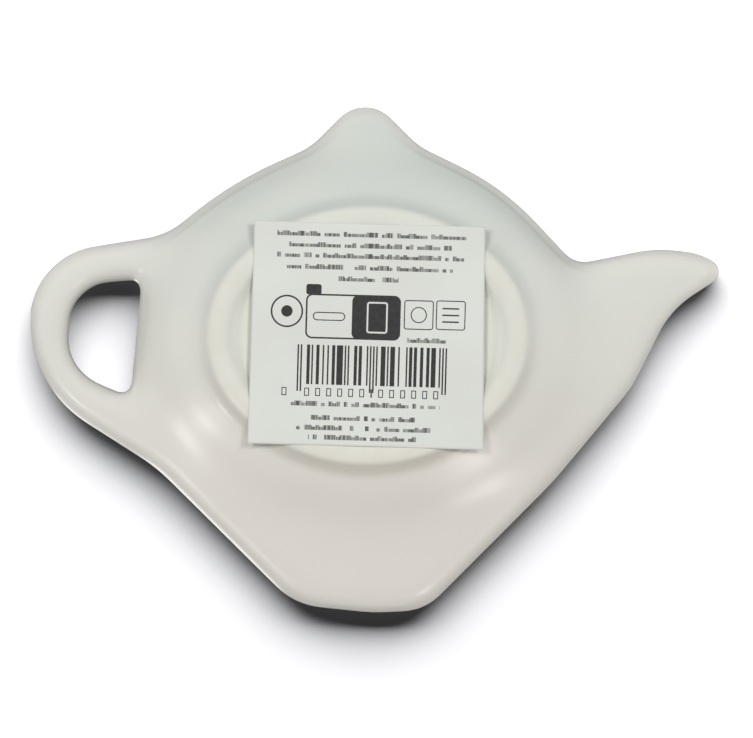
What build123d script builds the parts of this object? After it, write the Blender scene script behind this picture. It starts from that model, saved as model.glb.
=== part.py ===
from build123d import *
import os
from math import atan, degrees, radians, tan

# Tea bag rest in the outline of a teapot, one glazed ceramic moulding with a paper label under it.
# It stands as on a table: z = 0 is the table, +Z is up and the hollow opens upwards. +Y points to
# the knob of the lid, +X to the handle and -X to the spout. The origin is under the middle of its
# outline. All lengths are in millimetres.

# Outline of the moulding
overall_length = 146.0
overall_width = 107.0
rim_height = 18.5
rim_width = 4.7
rim_radius = 2.0
inner_rim_bevel = 1.3
under_rim_reach = 2.2
under_rim_rise = 3.6

# Foot ring, an oval that is not in the middle of the outline but under the middle of the bowl
foot_length = 65.8
foot_width = 52.6
foot_height = 3.3
foot_crest_width = 3.0
foot_crest_bevel = 0.5
foot_outer_draft = 2.9
foot_inner_draft = 2.7
foot_root_bevel = 0.8
foot_recess_height = 2.0
foot_x_share = 0.010
foot_y_share = 0.048

# Bowl, whose floor is seen around the foot ring, and the level brim from which the walls rise
bowl_floor_end_reach = 4.7
bowl_floor_side_reach = 3.7
bowl_floor_radius = 6.0
bowl_side_reach = 7.0
brim_height = 9.8
brim_radius = 10.0
wall_thickness = 4.0
hollow_corner_radius = 3.0
hollow_foot_reach = 1.8
hollow_foot_rise = 2.6

# Paper label, stuck across the crest of the foot ring
label_length = 49.4
label_width = 46.7
label_thickness = 0.12
label_turn = 1.6

# Corners of the outline before they are rounded, from the tip of the knob over the spout, the
# base and the handle. Each row holds the corner's place as a share of the overall length and
# width, and how much of the shorter side beside it the rounding takes.
knob_and_spout_shares = [
    (0.014, 0.529, 0.46),
    (-0.064, 0.423, 0.14),
    (-0.186, 0.342, 0.51),
    (-0.291, 0.189, 0.17),
    (-0.409, 0.221, 0.48),
    (-0.470, 0.211, 0.31),
    (-0.517, 0.176, 0.55),
    (-0.430, 0.100, 0.38),
]
flank_and_base_shares = [
    (-0.374, -0.054, 0.18),
    (-0.259, -0.242, 0.12),
    (-0.073, -0.496, 0.40),
    (0.002, -0.501, 0.25),
    (0.116, -0.485, 0.32),
]
handle_shares = [
    (0.317, -0.213, 0.13),
    (0.500, -0.054, 0.51),
    (0.500, 0.208, 0.475),
    (0.303, 0.246, 0.25),
]
body_side_shares = [
    (0.345, -0.175, 0.50),
    (0.339, 0.205, 0.50),
]
left_shoulder_shares = [
    (0.207, 0.352, 0.60),
    (0.093, 0.421, 0.17),
]
finger_hole_shares = [
    (0.446, 0.159, 0.49),
    (0.446, -0.020, 0.49),
    (0.354, -0.075, 0.20),
    (0.339, 0.159, 0.12),
]

# How blunt the ends of the ovals are, and how far the slab over the brim reaches past the outline
oval_end_share = 0.834
slab_share = 1.2

# How much of the spout's nose, the outline's tightest corner, a rounding or bevel may take, and
# how much of a wall's height the bevel at its foot and the rounding or bevel at its rim may take
nose_fit_share = 0.9
foot_fit_share = 0.6
rim_fit_share = 0.35

foot_x = foot_x_share * overall_length
foot_y = foot_y_share * overall_width
crest_height = label_thickness


def outline_corners(shares):
    """Corners of an outline and the radius that takes each one's share of its shorter side."""
    points = [(x * overall_length, y * overall_width) for x, y, _ in shares]
    radii = []
    for corner, (_, _, round_share) in enumerate(shares):
        here = Vector(*points[corner])
        side_in = here - Vector(*points[corner - 1])
        side_out = Vector(*points[(corner + 1) % len(points)]) - here
        turn = side_in.get_angle(side_out)
        reach = round_share * min(side_in.length, side_out.length)
        radii.append(reach / tan(radians(turn / 2)))
    return points, radii


def outline_face(shares):
    """Closed outline with rounded corners, from a table of shares of the overall length and width."""
    points, radii = outline_corners(shares)
    with BuildSketch() as outline:
        with BuildLine():
            FilletPolyline(*points, radius=radii, close=True)
        make_face()
    return outline.sketch


def oval_face(length, width):
    """Oval of four arcs that run into each other, with its length along X."""
    end_radius = oval_end_share * width / 2
    end_offset = length / 2 - end_radius
    side_gap = width / 2 - end_radius
    side_offset = (end_offset**2 - side_gap**2) / (2 * side_gap)
    joint = Vector(end_offset, 0) + Vector(end_offset, side_offset).normalized() * end_radius
    with BuildSketch() as oval:
        with BuildLine():
            ThreePointArc((joint.X, -joint.Y), (length / 2, 0), (joint.X, joint.Y))
            ThreePointArc((joint.X, joint.Y), (0, width / 2), (-joint.X, joint.Y))
            ThreePointArc((-joint.X, joint.Y), (-length / 2, 0), (-joint.X, -joint.Y))
            ThreePointArc((-joint.X, -joint.Y), (0, -width / 2), (joint.X, -joint.Y))
        make_face()
    return oval.sketch


def draft_angle(reach, rise):
    """Angle from upright of a side that goes out by its reach over its rise."""
    return degrees(atan(reach / rise))


def bevel_foot(form, reach, rise):
    """Bevels the foot of an upright form's walls, with a reach inwards and a rise up the walls."""
    wall = form.part.bounding_box().size.Z
    foot = form.faces().sort_by(Axis.Z)[0]
    chamfer(foot.edges(), reach, min(rise, foot_fit_share * wall), reference=foot)


# Bowl below a level brim, as one form that is used for the underside and for the hollow
bowl_height = brim_height - foot_height
root_length = foot_length + 2 * foot_outer_draft
root_width = foot_width + 2 * foot_outer_draft
bowl_length = root_length + 2 * (bowl_floor_end_reach + bowl_side_reach)
bowl_width = root_width + 2 * (bowl_floor_side_reach + bowl_side_reach)
with BuildPart() as bowl:
    with BuildSketch(Plane.XY.offset(brim_height)):
        add(oval_face(bowl_length, bowl_width))
    extrude(amount=-bowl_height, taper=draft_angle(bowl_side_reach, bowl_height))
    fillet(bowl.edges().group_by(Axis.Z)[0], bowl_floor_radius)
    with BuildSketch(Plane.XY.offset(brim_height)):
        Rectangle(slab_share * overall_length, slab_share * overall_width)
    extrude(amount=rim_height)
    fillet(bowl.edges().filter_by(GeomType.CIRCLE).group_by(Axis.Z)[-1], brim_radius)

# The underside is the bowl with a foot ring on its floor and the recess inside the ring
ring_height = foot_height - crest_height
recess_rise = foot_recess_height - crest_height
with BuildPart() as underside:
    add(bowl.part)
    with BuildSketch(Plane.XY.offset(foot_height)):
        add(oval_face(root_length, root_width))
    extrude(amount=-ring_height, taper=draft_angle(foot_outer_draft, ring_height))
    bowl_floor = underside.faces().sort_by(lambda face: abs(face.center().Z - foot_height))[0]
    chamfer(bowl_floor.inner_wires().edges(), foot_root_bevel)
    with BuildSketch(Plane.XY.offset(crest_height)):
        add(oval_face(foot_length, foot_width))
        offset(amount=-foot_crest_width, kind=Kind.ARC)
    extrude(amount=recess_rise, taper=draft_angle(foot_inner_draft, recess_rise), mode=Mode.SUBTRACT)
    chamfer(underside.edges().group_by(Axis.Z)[0], foot_crest_bevel)

dish_shares = knob_and_spout_shares + flank_and_base_shares + handle_shares + left_shoulder_shares
body_shares = knob_and_spout_shares + flank_and_base_shares + body_side_shares + left_shoulder_shares
nose_fit = nose_fit_share * min(outline_corners(dish_shares)[1])
wall_height = rim_height - brim_height
hollow_wall_height = wall_height - wall_thickness

# The hollow keeps one wall above the bowl and the brim, and one rim inside the body's outline
with BuildPart() as hollow:
    with BuildSketch(Plane.XY.offset(rim_height)):
        add(outline_face(body_shares))
        offset(amount=-rim_width - hollow_corner_radius, kind=Kind.ARC)
        offset(amount=hollow_corner_radius, kind=Kind.ARC)
    extrude(amount=-hollow_wall_height)
    bevel_foot(hollow, hollow_foot_reach, hollow_foot_rise)
    extrude(hollow.faces().sort_by(Axis.Z)[0], amount=brim_height)
    add(bowl.part.moved(Location((foot_x, foot_y, wall_thickness))), mode=Mode.INTERSECT)

# The moulding: its walls go in below the rim, then the underside and the hollow are cut, and last
# the rim is bevelled along the hollow and the finger hole and rounded along the outline
with BuildPart() as dish:
    with BuildSketch(Plane.XY.offset(rim_height)):
        add(outline_face(dish_shares))
        add(outline_face(finger_hole_shares), mode=Mode.SUBTRACT)
    extrude(amount=-wall_height)
    bevel_foot(dish, min(under_rim_reach, nose_fit), under_rim_rise)
    extrude(dish.faces().sort_by(Axis.Z)[0], amount=brim_height)
    add(underside.part.moved(Location((foot_x, foot_y))), mode=Mode.INTERSECT)
    add(hollow.part, mode=Mode.SUBTRACT)
    inner_rims = dish.faces().sort_by(Axis.Z)[-1].inner_wires()
    chamfer(inner_rims.edges(), min(inner_rim_bevel, rim_fit_share * hollow_wall_height))
    outer_rim = dish.faces().sort_by(Axis.Z)[-1].outer_wire()
    fillet(outer_rim.edges(), min(rim_radius, nose_fit, rim_fit_share * wall_height))
dish.part.label = "dish"

with BuildPart() as label:
    with BuildSketch():
        with Locations((foot_x, foot_y)):
            Rectangle(label_length, label_width, rotation=label_turn)
    extrude(amount=label_thickness)
label.part.label = "label"

os.makedirs("parts", exist_ok=True)
export_step(dish.part, "parts/dish.step")
export_step(label.part, "parts/label.step")
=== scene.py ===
import math

import bmesh
import bpy
from mathutils import Matrix, Vector, noise


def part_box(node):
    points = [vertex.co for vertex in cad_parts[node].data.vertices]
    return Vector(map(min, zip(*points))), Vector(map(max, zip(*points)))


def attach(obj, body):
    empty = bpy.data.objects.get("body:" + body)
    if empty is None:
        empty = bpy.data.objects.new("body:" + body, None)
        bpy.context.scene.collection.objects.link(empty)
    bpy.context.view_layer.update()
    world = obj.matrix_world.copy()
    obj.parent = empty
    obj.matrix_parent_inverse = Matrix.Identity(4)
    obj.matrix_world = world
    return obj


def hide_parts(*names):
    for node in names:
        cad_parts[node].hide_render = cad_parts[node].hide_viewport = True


# A glazed tea bag rest in the outline of a teapot, seen from below as it lies on its rim, with its
# paper label on the foot ring. Lengths are in metres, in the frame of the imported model, unless a
# comment gives millimetres. Left and right are as the picture shows them: left is +X.

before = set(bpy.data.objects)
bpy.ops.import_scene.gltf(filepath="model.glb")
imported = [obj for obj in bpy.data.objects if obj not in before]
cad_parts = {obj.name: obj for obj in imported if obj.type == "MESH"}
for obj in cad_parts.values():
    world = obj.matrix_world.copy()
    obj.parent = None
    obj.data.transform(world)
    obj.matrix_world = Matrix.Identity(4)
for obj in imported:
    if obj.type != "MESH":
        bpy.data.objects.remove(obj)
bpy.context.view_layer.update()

MM = 0.001
LABEL_LOW, LABEL_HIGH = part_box("label")
FOOT = (LABEL_LOW + LABEL_HIGH) / 2
DISH_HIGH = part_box("dish")[1]

# Half lengths and half widths of the foot ring's crest, over its outer and its inner edge
CREST_OUTER = (0.0329, 0.0263)
CREST_INNER = (0.0299, 0.0233)

# The label: its turn in degrees, its half sizes, the share by which it narrows towards its top and
# how far its top leans
LABEL_TURN = 1.6
LABEL_HALF = (0.0247, 0.02335)
LABEL_TAPER = 0.0105
LABEL_LEAN = 0.18 * MM
LABEL_THICKNESS = 0.10 * MM
LABEL_SEGMENTS = 90

# It sags in ripples in the recess and lifts past the crest: how much, in millimetres, and where
# that sets in, as a share of the crest's inner and outer oval
LABEL_SAG = 0.10
LABEL_SAG_EDGE = (0.80, 1.0)
LABEL_RIPPLE = 60.0
LABEL_LIFT = 5.0
LABEL_LIFT_START = 0.97

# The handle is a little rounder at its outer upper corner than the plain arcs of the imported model,
# so the dish is pulled in around this place
HANDLE_CORNER = Vector((0.0615, 0.0140))
HANDLE_CORNER_REACH = 0.0055
HANDLE_CORNER_PULL = 0.9 * MM

# Size of the dish's faces, and the bands of height that are smoothed, in millimetres, with their
# rounds: the whole dish, the underside up to the rim's walls, and the bowl up to its brim
FACE_SIZE = 0.65 * MM
SOFT_BANDS = [(-1.0, 99.0, 5), (3.2, 13.8, 50), (3.2, 9.85, 220)]

# The body's edge beside the finger hole is rounder: its place, its band of height and its rounds
HOLE_EDGE_X = (0.040, 0.0512)
HOLE_EDGE_Y = (-0.011, 0.019)
HOLE_EDGE_BAND = (9.0, 14.5, 30)

# Slow unevenness of the glazed surface: how fine it is and how high, in millimetres. It sets in
# above the foot's crest and ends below the rim, because the dish lies on those.
SWELLS = [(38.0, 0.16), (95.0, 0.05)]
SWELL_START = (1.0 * MM, 5.0 * MM)
SWELL_END = (15.5 * MM, 18.0 * MM)


# Shader graphs

class Link:
    """A node's output, which takes part in plain arithmetic where it is a number."""

    def __init__(self, paint, socket):
        self.paint = paint
        self.socket = socket

    def math(self, operation, *values, clamp=False):
        return self.paint.node("Math", {"operation": operation, "use_clamp": clamp}, values)

    def __add__(self, other):
        return self.math("ADD", self, other)

    def __sub__(self, other):
        return self.math("SUBTRACT", self, other)

    def __mul__(self, other):
        return self.math("MULTIPLY", self, other)

    def __truediv__(self, other):
        return self.math("DIVIDE", self, other)

    def __radd__(self, other):
        return self.math("ADD", other, self)

    def __rsub__(self, other):
        return self.math("SUBTRACT", other, self)

    def __rmul__(self, other):
        return self.math("MULTIPLY", other, self)

    def __rtruediv__(self, other):
        return self.math("DIVIDE", other, self)

    def __gt__(self, other):
        return self.math("GREATER_THAN", self, other)

    def __lt__(self, other):
        return self.math("LESS_THAN", self, other)

    def __abs__(self):
        return self.math("ABSOLUTE", self)

    def floor(self):
        return self.math("FLOOR", self)

    def root(self):
        return self.math("SQRT", self)

    def low(self, other):
        return self.math("MINIMUM", self, other)

    def high(self, other):
        return self.math("MAXIMUM", self, other)

    def clamped(self):
        return self.math("ADD", self, 0, clamp=True)

    def between(self, low, high):
        """1 between two numbers and 0 outside them."""
        return (self > low) * (self < high)

    def ramp(self, start, end, high=1.0):
        """Goes smoothly from 0 at start to high at end."""
        return self.paint.node(
            "MapRange", {"interpolation_type": "SMOOTHSTEP"},
            {"Value": self, "From Min": start, "From Max": end, "To Min": 0.0, "To Max": high})


class Paint:
    """One material and the nodes that are added to it."""

    def __init__(self, name):
        self.material = bpy.data.materials.new(name)
        self.material.use_nodes = True
        self.tree = self.material.node_tree
        self.tree.nodes.clear()

    def node(self, kind, settings=None, values=(), out=0):
        """Adds a node with its settings, feeds its sockets and returns one of its outputs."""
        node = self.tree.nodes.new("ShaderNode" + kind)
        for name, setting in (settings or {}).items():
            setattr(node, name, setting)
        pairs = values.items() if isinstance(values, dict) else enumerate(values)
        for key, value in pairs:
            if isinstance(value, Link):
                self.tree.links.new(value.socket, node.inputs[key])
            else:
                node.inputs[key].default_value = value
        return Link(self, node.outputs[out]) if node.outputs else None

    def place(self):
        """Object coordinates in metres."""
        return self.node("TexCoord", out="Object")

    def axes(self, place):
        """The three numbers of a place."""
        split = self.node("SeparateXYZ", values=(place,))
        return [Link(self, socket) for socket in split.socket.node.outputs]

    def noise(self, place, scale, detail):
        return self.node("TexNoise", values={"Vector": place, "Scale": scale, "Detail": detail})

    def mix(self, factor, first, second):
        """Mixes two colours, whose sockets come after those for numbers and vectors."""
        return self.node("Mix", {"data_type": "RGBA"}, {0: factor, 6: first, 7: second}, out=2)

    def bump(self, height, distance, strength):
        return self.node("Bump", values={"Height": height, "Distance": distance,
                                         "Strength": strength})

    def end(self, shader):
        self.node("OutputMaterial", values=(shader,))
        return self.material

    def finish(self, **values):
        """Ends the material in one principled shader."""
        named = {name.replace("_", " "): value for name, value in values.items()}
        return self.end(self.node("BsdfPrincipled", values=named))


def srgb(red, green, blue):
    """Linear colour, with its alpha, of a colour given in the usual 0 to 255 steps."""
    def linear(value):
        value = value / 255
        return value / 12.92 if value <= 0.04045 else ((value + 0.055) / 1.055) ** 2.4
    return (linear(red), linear(green), linear(blue), 1.0)


# Glaze of the dish, thinner and creamier on the crest of its foot ring. Light and shade are also
# painted into it: a warm tint towards the base and a cool one towards the knob, paler sides,
# paler walls under the rim and a paler recess, and painted shade in the finger hole and on the
# foot's outer wall. Pairs of numbers are the places between which a tone sets in or fades out.

BASE_TO_KNOB = (-0.03, 0.035)
BODY_TO_SIDES = (0.026, 0.050)

# the walls under the rim, by height, and the part of them that lies along the finger hole,
# which get painted bounce light
BRINK_FOOT = (0.0099, 0.0125)
BRINK_TOP = (0.0165, 0.0150)
ALONG_HOLE_START = (0.0440, 0.0470)
ALONG_HOLE_END = (0.0520, 0.0505)
ALONG_HOLE_Y = (-0.012, 0.018)

# the finger hole, which lies above a slanting line, and the height of its walls, which get
# painted shade
HOLE_START = (0.0512, 0.0535)
HOLE_HIGH = (0.0668, 0.0192)
HOLE_SLANT = 0.44
HOLE_LOW = -0.0327
HOLE_WALL_FOOT = (0.0126, 0.0140)
HOLE_WALL_TOP = (0.0182, 0.0176)

# the foot ring and the recess inside it, which is an oval under a ceiling
RECESS_EDGE = (1.05, 0.90)
RECESS_CEILING = 0.0029
FOOT_WALL_LOW = (0.0003, 0.0010)
FOOT_WALL_HIGH = (0.0036, 0.0027)
CREST_FADE = (0.0016, 0.0004)


def glaze_material():
    paint = Paint("white_glaze")
    place = paint.place()
    x, y, z = paint.axes(place)
    cloud = paint.noise(place, 28.0, 2.0)
    drift = paint.noise(place, 9.0, 1.0)
    # painted light: a warm tint towards the base turns to a cool one towards the knob
    upper = (y + (drift - 0.5) * 0.02).ramp(*BASE_TO_KNOB)
    glaze = paint.mix(upper, srgb(225, 219, 210), srgb(213, 218, 210))
    # painted light: paler towards the handle and the spout, the more so towards the knob
    side = (abs(x) + (drift - 0.5) * 0.01).ramp(*BODY_TO_SIDES)
    glaze = paint.mix(side * (0.35 + 0.35 * upper), glaze, srgb(229, 228, 218))
    glaze = paint.mix((cloud - 0.42).ramp(0.0, 0.3, 0.25), glaze, srgb(230, 227, 218))

    # painted bounce light makes the walls under the rim paler, more towards the knob and along
    # the finger hole
    brink = z.ramp(*BRINK_FOOT) * z.ramp(*BRINK_TOP)
    along_hole = x.ramp(*ALONG_HOLE_START) * x.ramp(*ALONG_HOLE_END) * y.between(*ALONG_HOLE_Y)
    pale = brink * (0.12 + 0.58 * upper + 0.5 * along_hole).low(1.0)
    glaze = paint.mix(pale, glaze, srgb(248, 245, 237))

    # painted shade darkens the walls of the finger hole
    in_hole = x.ramp(*HOLE_START) * (x < HOLE_HIGH[0]) * (y < HOLE_HIGH[1])
    in_hole = in_hole * (y - HOLE_SLANT * x > HOLE_LOW)
    hole_painted_shade = in_hole * z.ramp(*HOLE_WALL_FOOT) * z.ramp(*HOLE_WALL_TOP)
    glaze = paint.mix(hole_painted_shade, glaze, srgb(206, 204, 197))

    # painted light makes the recess paler, painted shade darkens the foot's outer wall,
    # and the glaze runs thin and creamy on the foot's crest
    along, across = (x - FOOT.x) / CREST_INNER[0], (y - FOOT.y) / CREST_INNER[1]
    recess = (along * along + across * across).ramp(*RECESS_EDGE) * (z < RECESS_CEILING)
    glaze = paint.mix(recess, glaze, srgb(232, 233, 220))
    # painted shade on the foot's outer wall, strongest at its top and bottom, warmer towards the
    # base
    foot_wall = z.ramp(*FOOT_WALL_LOW) * z.ramp(*FOOT_WALL_HIGH) * (1 - recess)
    foot_wall_painted_shade = paint.mix(upper, srgb(207, 200, 188), srgb(207, 212, 204))
    glaze = paint.mix(foot_wall * (0.10 + 0.80 * abs(across)).low(1.0), glaze, foot_wall_painted_shade)
    crest = z.ramp(*CREST_FADE)
    veil = paint.noise(place, 160.0, 3.0)
    thin = paint.mix(veil.ramp(0.3, 0.7), srgb(231, 228, 216), srgb(227, 223, 210))
    # painted light tints the crest cooler towards the knob
    thin = paint.mix(upper * 0.7, thin, srgb(222, 224, 213))
    colour = paint.mix(crest, glaze, thin)

    # a few iron specks and pinholes under the glaze
    speck_distance = paint.node("TexVoronoi", values={"Vector": place, "Scale": 130.0})
    speck_choice = paint.noise(place, 60.0, 0.0)
    specks = speck_distance.ramp(0.045, 0.02) * (speck_choice > 0.68)
    colour = paint.mix(specks * 0.35, colour, srgb(168, 158, 140))

    wave = paint.noise(place, 55.0, 1.0)
    peel = paint.noise(place, 420.0, 2.0)
    skin = paint.bump(wave + peel * 0.02 - specks * 0.10, 0.6 * MM, 0.30)
    rough = 0.30 + 0.08 * cloud + 0.12 * crest
    return paint.finish(Base_Color=colour, Roughness=rough, Coat_Weight=0.9 - 0.5 * crest,
                        Coat_Roughness=0.23, Specular_IOR_Level=0.4, IOR=1.5, Normal=skin)


# Print on the label, in millimetres from its middle, with u to the right and v up as it is read.
# Rows of upright strokes: the middle and half length of a row, and its height. The strokes stand in
# short groups, and each row draws its own gaps and tall strokes.
STROKE_ROWS = [
    (0.3, 19.8, 20.8), (0.1, 17.1, 18.5), (0.2, 19.6, 16.3), (0.1, 17.4, 13.9), (-0.1, 6.3, 11.5),
    (12.4, 4.1, -1.0),
    (-0.1, 15.6, -14.8), (-0.5, 10.9, -17.7), (-0.5, 14.2, -19.8), (-0.6, 11.3, -21.8),
]
STROKE_WIDTH = 0.24
HALF_STROKE = 0.34
LETTER_WIDTH = 0.80
ROW_SHIFT = 3.7
ROW_SEED = 61.0

# A made-up bar block: the widths of its bars and gaps by turns, in modules, the bars that hang
# lower, and the heights between which the bars stand
MODULE = 0.33
BAR_START = -14.6
BAR_WIDTHS = "111" "321122212122141111321231" "11111" "123111321411212222213211" "111"
LONG_BARS = (0, 2, 28, 30, 56, 58)
BAR_SPAN = (-10.6, -2.3)
LONG_BAR_SPAN = (-12.1, -2.3)

# Empty boxes under the bars, with a wider gap in the middle of the row: half sizes, corner's radius
# and line of a box, one in each cell of seven modules
BOX = (0.52, 0.86, 0.12, 0.20)
BOX_HEIGHT = -12.2
BOX_CELL = 7 * MODULE
BOX_START = BAR_START + 3 * MODULE
BOX_COUNT = 12.0
BOX_GAP = 1.65
BOX_GAP_AFTER = 1.0

# One more box beside the bars, and plain signs above them: middle, half sizes, corner's radius and
# line, where no line is a filled form. The dark sign has a pale frame in it.
BOLD, FINE, FILLED = 0.35, 0.22, 0
SIGNS = [
    (-17.2, BOX_HEIGHT, *BOX),
    (-17.05, 4.6, 3.4, 3.4, 3.4, BOLD), (-17.05, 4.6, 1.2, 1.2, 1.2, FILLED),
    (-3.15, 3.7, 9.95, 4.7, 1.4, BOLD), (-11.5, 9.3, 1.6, 1.1, 0.5, FILLED),
    (-8.2, 3.7, 3.4, 0.9, 0.9, FINE),
    (10.6, 4.5, 3.1, 3.1, 0.6, FINE), (10.6, 4.5, 1.7, 1.7, 1.7, FINE),
    (17.3, 4.6, 3.1, 3.1, 0.6, FINE), (17.3, 3.2, 1.8, 0.16, 0.16, FILLED),
    (17.3, 4.6, 1.8, 0.16, 0.16, FILLED), (17.3, 6.0, 1.8, 0.16, 0.16, FILLED),
]
DARK_SIGN = (1.7, 3.7, 5.1, 4.7, 1.4)
DARK_SIGN_FRAME = (1.9, 3.7, 2.2, 3.3, 0.6, BOLD)


def paper_material():
    paint = Paint("label_paper")
    place = paint.place()
    x, y = paint.axes(place)[:2]
    along, across = x - FOOT.x, y - FOOT.y
    turn = math.radians(LABEL_TURN)
    u = -1000.0 * (along * math.cos(turn) + across * math.sin(turn))
    v = 1000.0 * (across * math.cos(turn) - along * math.sin(turn))

    def chance(number):
        return paint.node("TexWhiteNoise", {"noise_dimensions": "1D"}, {"W": number})

    def panel(off_u, off_v, half_u, half_v, corner):
        """1 inside a box whose corners are rounded, from the offsets to its middle."""
        out_u = (abs(off_u) - (half_u - corner)).high(0.0)
        out_v = (abs(off_v) - (half_v - corner)).high(0.0)
        return (out_u * out_u + out_v * out_v).root() < corner

    def outline(off_u, off_v, half_u, half_v, corner, line):
        inner = panel(off_u, off_v, half_u - line, half_v - line, max(corner - line, 0.05))
        return panel(off_u, off_v, half_u, half_v, corner) * (1 - inner)

    def sign(mid_u, mid_v, half_u, half_v, corner, line=FILLED):
        form = (u - mid_u, v - mid_v, half_u, half_v, corner)
        return outline(*form, line) if line else panel(*form)

    ink = 0.0
    fade = 0.42 + 0.5 * chance((u / STROKE_WIDTH).floor() + 0.5)
    for row, (mid_u, half_u, mid_v) in enumerate(STROKE_ROWS):
        letter = ((u + ROW_SHIFT * row) / LETTER_WIDTH).floor() + ROW_SEED * row
        gap = chance(letter) > 0.83
        tall = chance(letter + 0.5) > 0.60
        in_row = (v > mid_v - HALF_STROKE) * (v < HALF_STROKE * tall + (mid_v + HALF_STROKE))
        ink = ink + in_row * (abs(u - mid_u) < half_u) * (1 - gap) * fade

    start = BAR_START
    short_bars, long_bars = 0.0, 0.0
    for turn_number, width in enumerate(BAR_WIDTHS):
        end = start + MODULE * int(width)
        if turn_number in LONG_BARS:
            long_bars = long_bars + u.between(start, end)
        elif turn_number % 2 == 0:
            short_bars = short_bars + u.between(start, end)
        start = end
    ink = ink + short_bars * v.between(*BAR_SPAN) + long_bars * v.between(*LONG_BAR_SPAN)

    cell = (u - BOX_GAP * (u > BOX_GAP_AFTER) - BOX_START) / BOX_CELL
    in_cell = (cell - cell.floor() - 0.5) * BOX_CELL
    ink = ink + outline(in_cell, v - BOX_HEIGHT, *BOX) * cell.between(0.0, BOX_COUNT)
    for plain in SIGNS:
        ink = ink + sign(*plain)
    ink = ink + sign(*DARK_SIGN) * (1 - sign(*DARK_SIGN_FRAME))
    ink = ink.clamped()

    fibre = paint.noise(place, 900.0, 4.0)
    blotch = paint.noise(place, 45.0, 2.0)
    paper = paint.mix(blotch.ramp(0.3, 0.7), srgb(220, 221, 213), srgb(226, 227, 220))
    colour = paint.mix(ink * (0.93 + 0.05 * fibre), paper, srgb(30, 29, 32))
    skin = paint.bump(fibre, 0.03 * MM, 0.4)
    rough = 0.5 + 0.1 * fibre - 0.12 * ink
    return paint.finish(Base_Color=colour, Roughness=rough, Normal=skin)


# Pieces

def placed(name, mesh, paint):
    """Ends a mesh as an object of the scene."""
    data = bpy.data.meshes.new(name)
    mesh.to_mesh(data)
    mesh.free()
    data.materials.append(paint)
    thing = bpy.data.objects.new(name, data)
    bpy.context.scene.collection.objects.link(thing)
    return thing


def shown(name, mesh, paint, node):
    """Ends a mesh and shows it in place of its CAD node."""
    piece = placed(name, mesh, paint)
    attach(piece, "root")
    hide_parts(node)
    return piece


def even_shell(node, size):
    """The CAD node's shell as a mesh of small even faces."""
    merged = bmesh.new()
    merged.from_mesh(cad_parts[node].data)
    bmesh.ops.remove_doubles(merged, verts=merged.verts, dist=0.002 * MM)
    data = bpy.data.meshes.new(node + "_shell")
    merged.to_mesh(data)
    merged.free()
    shell = bpy.data.objects.new(node + "_shell", data)
    bpy.context.scene.collection.objects.link(shell)
    even = shell.modifiers.new("even", "REMESH")
    even.mode = "VOXEL"
    even.voxel_size = size
    seen = shell.evaluated_get(bpy.context.evaluated_depsgraph_get())
    mesh = bmesh.new()
    mesh.from_mesh(seen.to_mesh())
    seen.to_mesh_clear()
    bpy.data.objects.remove(shell)
    return mesh


def soften(mesh, low, high, rounds, near=lambda place: True):
    """Smooths the part of a mesh between two heights, as melted glaze does."""
    band = [vert for vert in mesh.verts if low * MM < vert.co.z < high * MM and near(vert.co)]
    for _ in range(rounds):
        bmesh.ops.smooth_vert(mesh, verts=band, factor=0.5,
                              use_axis_x=True, use_axis_y=True, use_axis_z=True)


def beside_hole(place):
    return (HOLE_EDGE_X[0] < place.x < HOLE_EDGE_X[1]
            and HOLE_EDGE_Y[0] < place.y < HOLE_EDGE_Y[1])


def oval_reach(place, half):
    """How far out a place is, as a share of an oval about the foot's middle."""
    return math.hypot((place.x - FOOT.x) / half[0], (place.y - FOOT.y) / half[1])


def step(value, start, end):
    """Goes smoothly from 0 at start to 1 at end."""
    share = min(max((value - start) / (end - start), 0.0), 1.0)
    return share * share * (3 - 2 * share)


def glazed_dish():
    mesh = even_shell("dish", FACE_SIZE)
    for low, high, rounds in SOFT_BANDS:
        soften(mesh, low, high, rounds)
    soften(mesh, *HOLE_EDGE_BAND, near=beside_hole)
    for vert in mesh.verts:
        off = (vert.co.xy - HANDLE_CORNER).length_squared
        share = math.exp(-0.5 * off / HANDLE_CORNER_REACH**2)
        vert.co.x -= HANDLE_CORNER_PULL * share
        vert.co.y -= HANDLE_CORNER_PULL * share
        swell = sum(noise.noise(vert.co * fineness) * height for fineness, height in SWELLS)
        above_foot = step(vert.co.z, *SWELL_START)
        below_rim = 1 - step(vert.co.z, *SWELL_END)
        vert.co.z += swell * MM * above_foot * below_rim
    for face in mesh.faces:
        face.smooth = True
    return shown("glazed_dish", mesh, GLAZE, "dish")


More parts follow.
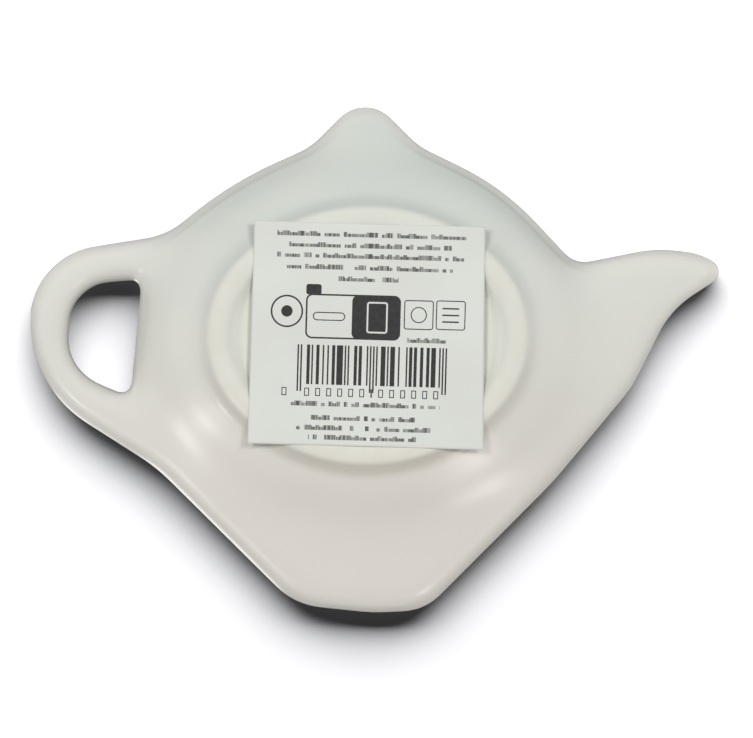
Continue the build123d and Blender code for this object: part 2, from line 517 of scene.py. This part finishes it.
def paper_label():
    mesh = bmesh.new()
    bmesh.ops.create_grid(mesh, x_segments=LABEL_SEGMENTS, y_segments=LABEL_SEGMENTS, size=1.0)
    for vert in mesh.verts:
        vert.co.x *= LABEL_HALF[0] * (1 - LABEL_TAPER * (1 + vert.co.y))
        vert.co.x += LABEL_LEAN * vert.co.y
        vert.co.y *= LABEL_HALF[1]
    turn = Matrix.Rotation(math.radians(LABEL_TURN), 3, "Z")
    bmesh.ops.rotate(mesh, verts=mesh.verts, cent=(0, 0, 0), matrix=turn)
    bmesh.ops.translate(mesh, verts=mesh.verts, vec=(FOOT.x, FOOT.y, 0.0))
    for vert in mesh.verts:
        inside = 1 - step(oval_reach(vert.co, CREST_INNER), *LABEL_SAG_EDGE)
        past = max(oval_reach(vert.co, CREST_OUTER) - LABEL_LIFT_START, 0.0)
        spot = Vector((vert.co.x * LABEL_RIPPLE, vert.co.y * LABEL_RIPPLE, 3.0))
        ripple = 0.5 + noise.noise(spot)
        vert.co.z = (LABEL_SAG * inside * max(ripple, 0.0) + LABEL_LIFT * past * past) * MM
    bmesh.ops.solidify(mesh, geom=mesh.faces[:], thickness=-LABEL_THICKNESS)
    bmesh.ops.recalc_face_normals(mesh, faces=mesh.faces)
    for face in mesh.faces:
        face.smooth = abs(face.normal.z) > 0.5
    return shown("paper_label", mesh, PAPER, "label")


GLAZE = glaze_material()
PAPER = paper_material()
DISH = glazed_dish()
LABEL = paper_label()


# Table for the views from above, and the sheet that the dish lies on upside down

FLOOR_HALF = 3.0
FLOOR_GAP = 0.2 * MM
SHEET_GAP = 0.3 * MM


def one_sided(name, colour, glow):
    """A matt floor that shows on its front and is clear from behind."""
    paint = Paint(name)
    cloth = paint.node("BsdfDiffuse", values={"Color": colour, "Roughness": 0.4})
    shine = paint.node("Emission", values={"Color": colour, "Strength": glow})
    front = paint.node("AddShader", values=(cloth, shine))
    clear = paint.node("BsdfTransparent")
    back = paint.node("NewGeometry", out="Backfacing")
    return paint.end(paint.node("MixShader", values=(back, front, clear)))


def floor(name, height, faces_up, colour, glow):
    """A wide flat sheet for the stage, which neither shades the pieces nor shows in them."""
    mesh = bmesh.new()
    bmesh.ops.create_grid(mesh, x_segments=1, y_segments=1, size=FLOOR_HALF)
    if not faces_up:
        bmesh.ops.reverse_faces(mesh, faces=mesh.faces)
    bmesh.ops.translate(mesh, verts=mesh.verts, vec=(0, 0, height))
    sheet = placed(name, mesh, one_sided(name + "_paint", colour, glow))
    sheet.visible_shadow = False
    sheet.visible_diffuse = False
    sheet.visible_glossy = False
    return sheet


floor("table", -FLOOR_GAP, True, srgb(238, 238, 238), 0.14)
SHEET = floor("sheet_under_rim", DISH_HIGH.z + SHEET_GAP, False, srgb(96, 96, 100), 0.0)


# Light and camera

def lit_set(name, members):
    """What a light falls on."""
    chosen = bpy.data.collections.new(name)
    for member in members:
        chosen.objects.link(member)
    return chosen


CENTRE = Vector((0.0, 0.0, 0.009))
PIECES_LIT = lit_set("lit_pieces", (DISH, LABEL))
SHEET_LIT = lit_set("lit_sheet", (SHEET,))


def softbox(name, place, size, power, colour, lights=True, gleams=True, falls_on=PIECES_LIT):
    """A rectangular light that faces the dish, and may only light things or only gleam in them.

    It falls on one lit set or, with None, on everything.
    """
    lamp = bpy.data.lights.new(name, "AREA")
    lamp.shape = "RECTANGLE"
    lamp.size, lamp.size_y = size
    lamp.energy = power
    lamp.color = colour
    box = bpy.data.objects.new(name, lamp)
    bpy.context.scene.collection.objects.link(box)
    box.location = place
    box.rotation_euler = (CENTRE - Vector(place)).to_track_quat("-Z", "Y").to_euler()
    box.visible_diffuse = lights
    box.visible_glossy = gleams
    box.light_linking.receiver_collection = falls_on


WHITE = (1.0, 1.0, 1.0)
COOL = (0.97, 0.98, 1.0)
PALE = (1.0, 0.99, 0.97)
WARM = (1.0, 0.98, 0.95)

# from below, where the camera is
KEY_SIZE = (0.20, 0.20)
SIDE_SIZE = (0.30, 0.30)
GLEAM_SIZE = (0.10, 0.16)
softbox("under_key_left", (0.30, 0.20, -0.85), KEY_SIZE, 3.0, COOL, gleams=False)
softbox("under_key_right", (-0.30, 0.20, -0.85), KEY_SIZE, 3.0, COOL, gleams=False)
softbox("under_side_left", (0.74, 0.02, -0.46), SIDE_SIZE, 0.95, PALE, gleams=False)
softbox("under_side_right", (-0.74, -0.06, -0.46), SIDE_SIZE, 0.68, PALE, gleams=False)
softbox("gleam_left", (0.52, -0.41, -0.44), GLEAM_SIZE, 0.42, WARM, lights=False)
softbox("gleam_right", (-0.35, -0.55, -0.44), GLEAM_SIZE, 0.32, WARM, lights=False)

# what the white sheet throws back on the walls of the rim, from each side
BOUNCES = [(0.8, 0.0, 0.8), (0.0, 0.8, 0.6), (-0.8, 0.0, 0.9), (0.0, -0.8, 1.8)]
for side, (x, y, power) in enumerate(BOUNCES):
    softbox(f"bounce_{side}", (x, y, 0.10), SIDE_SIZE, power, WHITE, gleams=False)

# from above, for the views of the upper side
OVER_SIZE = (0.5, 0.5)
OVER_GLEAM_SIZE = (0.2, 0.2)
softbox("over_key", (0.12, -0.22, 0.95), OVER_SIZE, 3.0, WARM, gleams=False, falls_on=None)
softbox("over_fill", (-0.25, 0.12, 0.90), OVER_SIZE, 1.5, (0.95, 0.98, 1.0), gleams=False,
        falls_on=None)
softbox("over_gleam", (0.45, -0.40, 0.62), OVER_GLEAM_SIZE, 0.5, PALE, lights=False)

# from the knob's side, so that the dish throws its soft shadow towards its base on the sheet
softbox("sheet_key", (0.0, 0.84, -0.68), (1.8, 0.8), 310.0, (1.0, 1.0, 0.94), gleams=False,
        falls_on=SHEET_LIT)

world = bpy.data.worlds.new("studio")
world.use_nodes = True
background = world.node_tree.nodes["Background"]
background.inputs["Color"].default_value = srgb(240, 241, 242)
background.inputs["Strength"].default_value = 0.27
bpy.context.scene.world = world
bpy.context.scene.view_settings.view_transform = "Standard"

camera_data = bpy.data.cameras.new("camera")
camera_data.lens = 300.0
camera_data.sensor_width = 36.0
camera = bpy.data.objects.new("camera", camera_data)
bpy.context.scene.collection.objects.link(camera)
camera.location = (-0.0004, -0.00196, -1.315)
camera.rotation_euler = (0.0, math.pi, 0.0)
bpy.context.scene.camera = camera
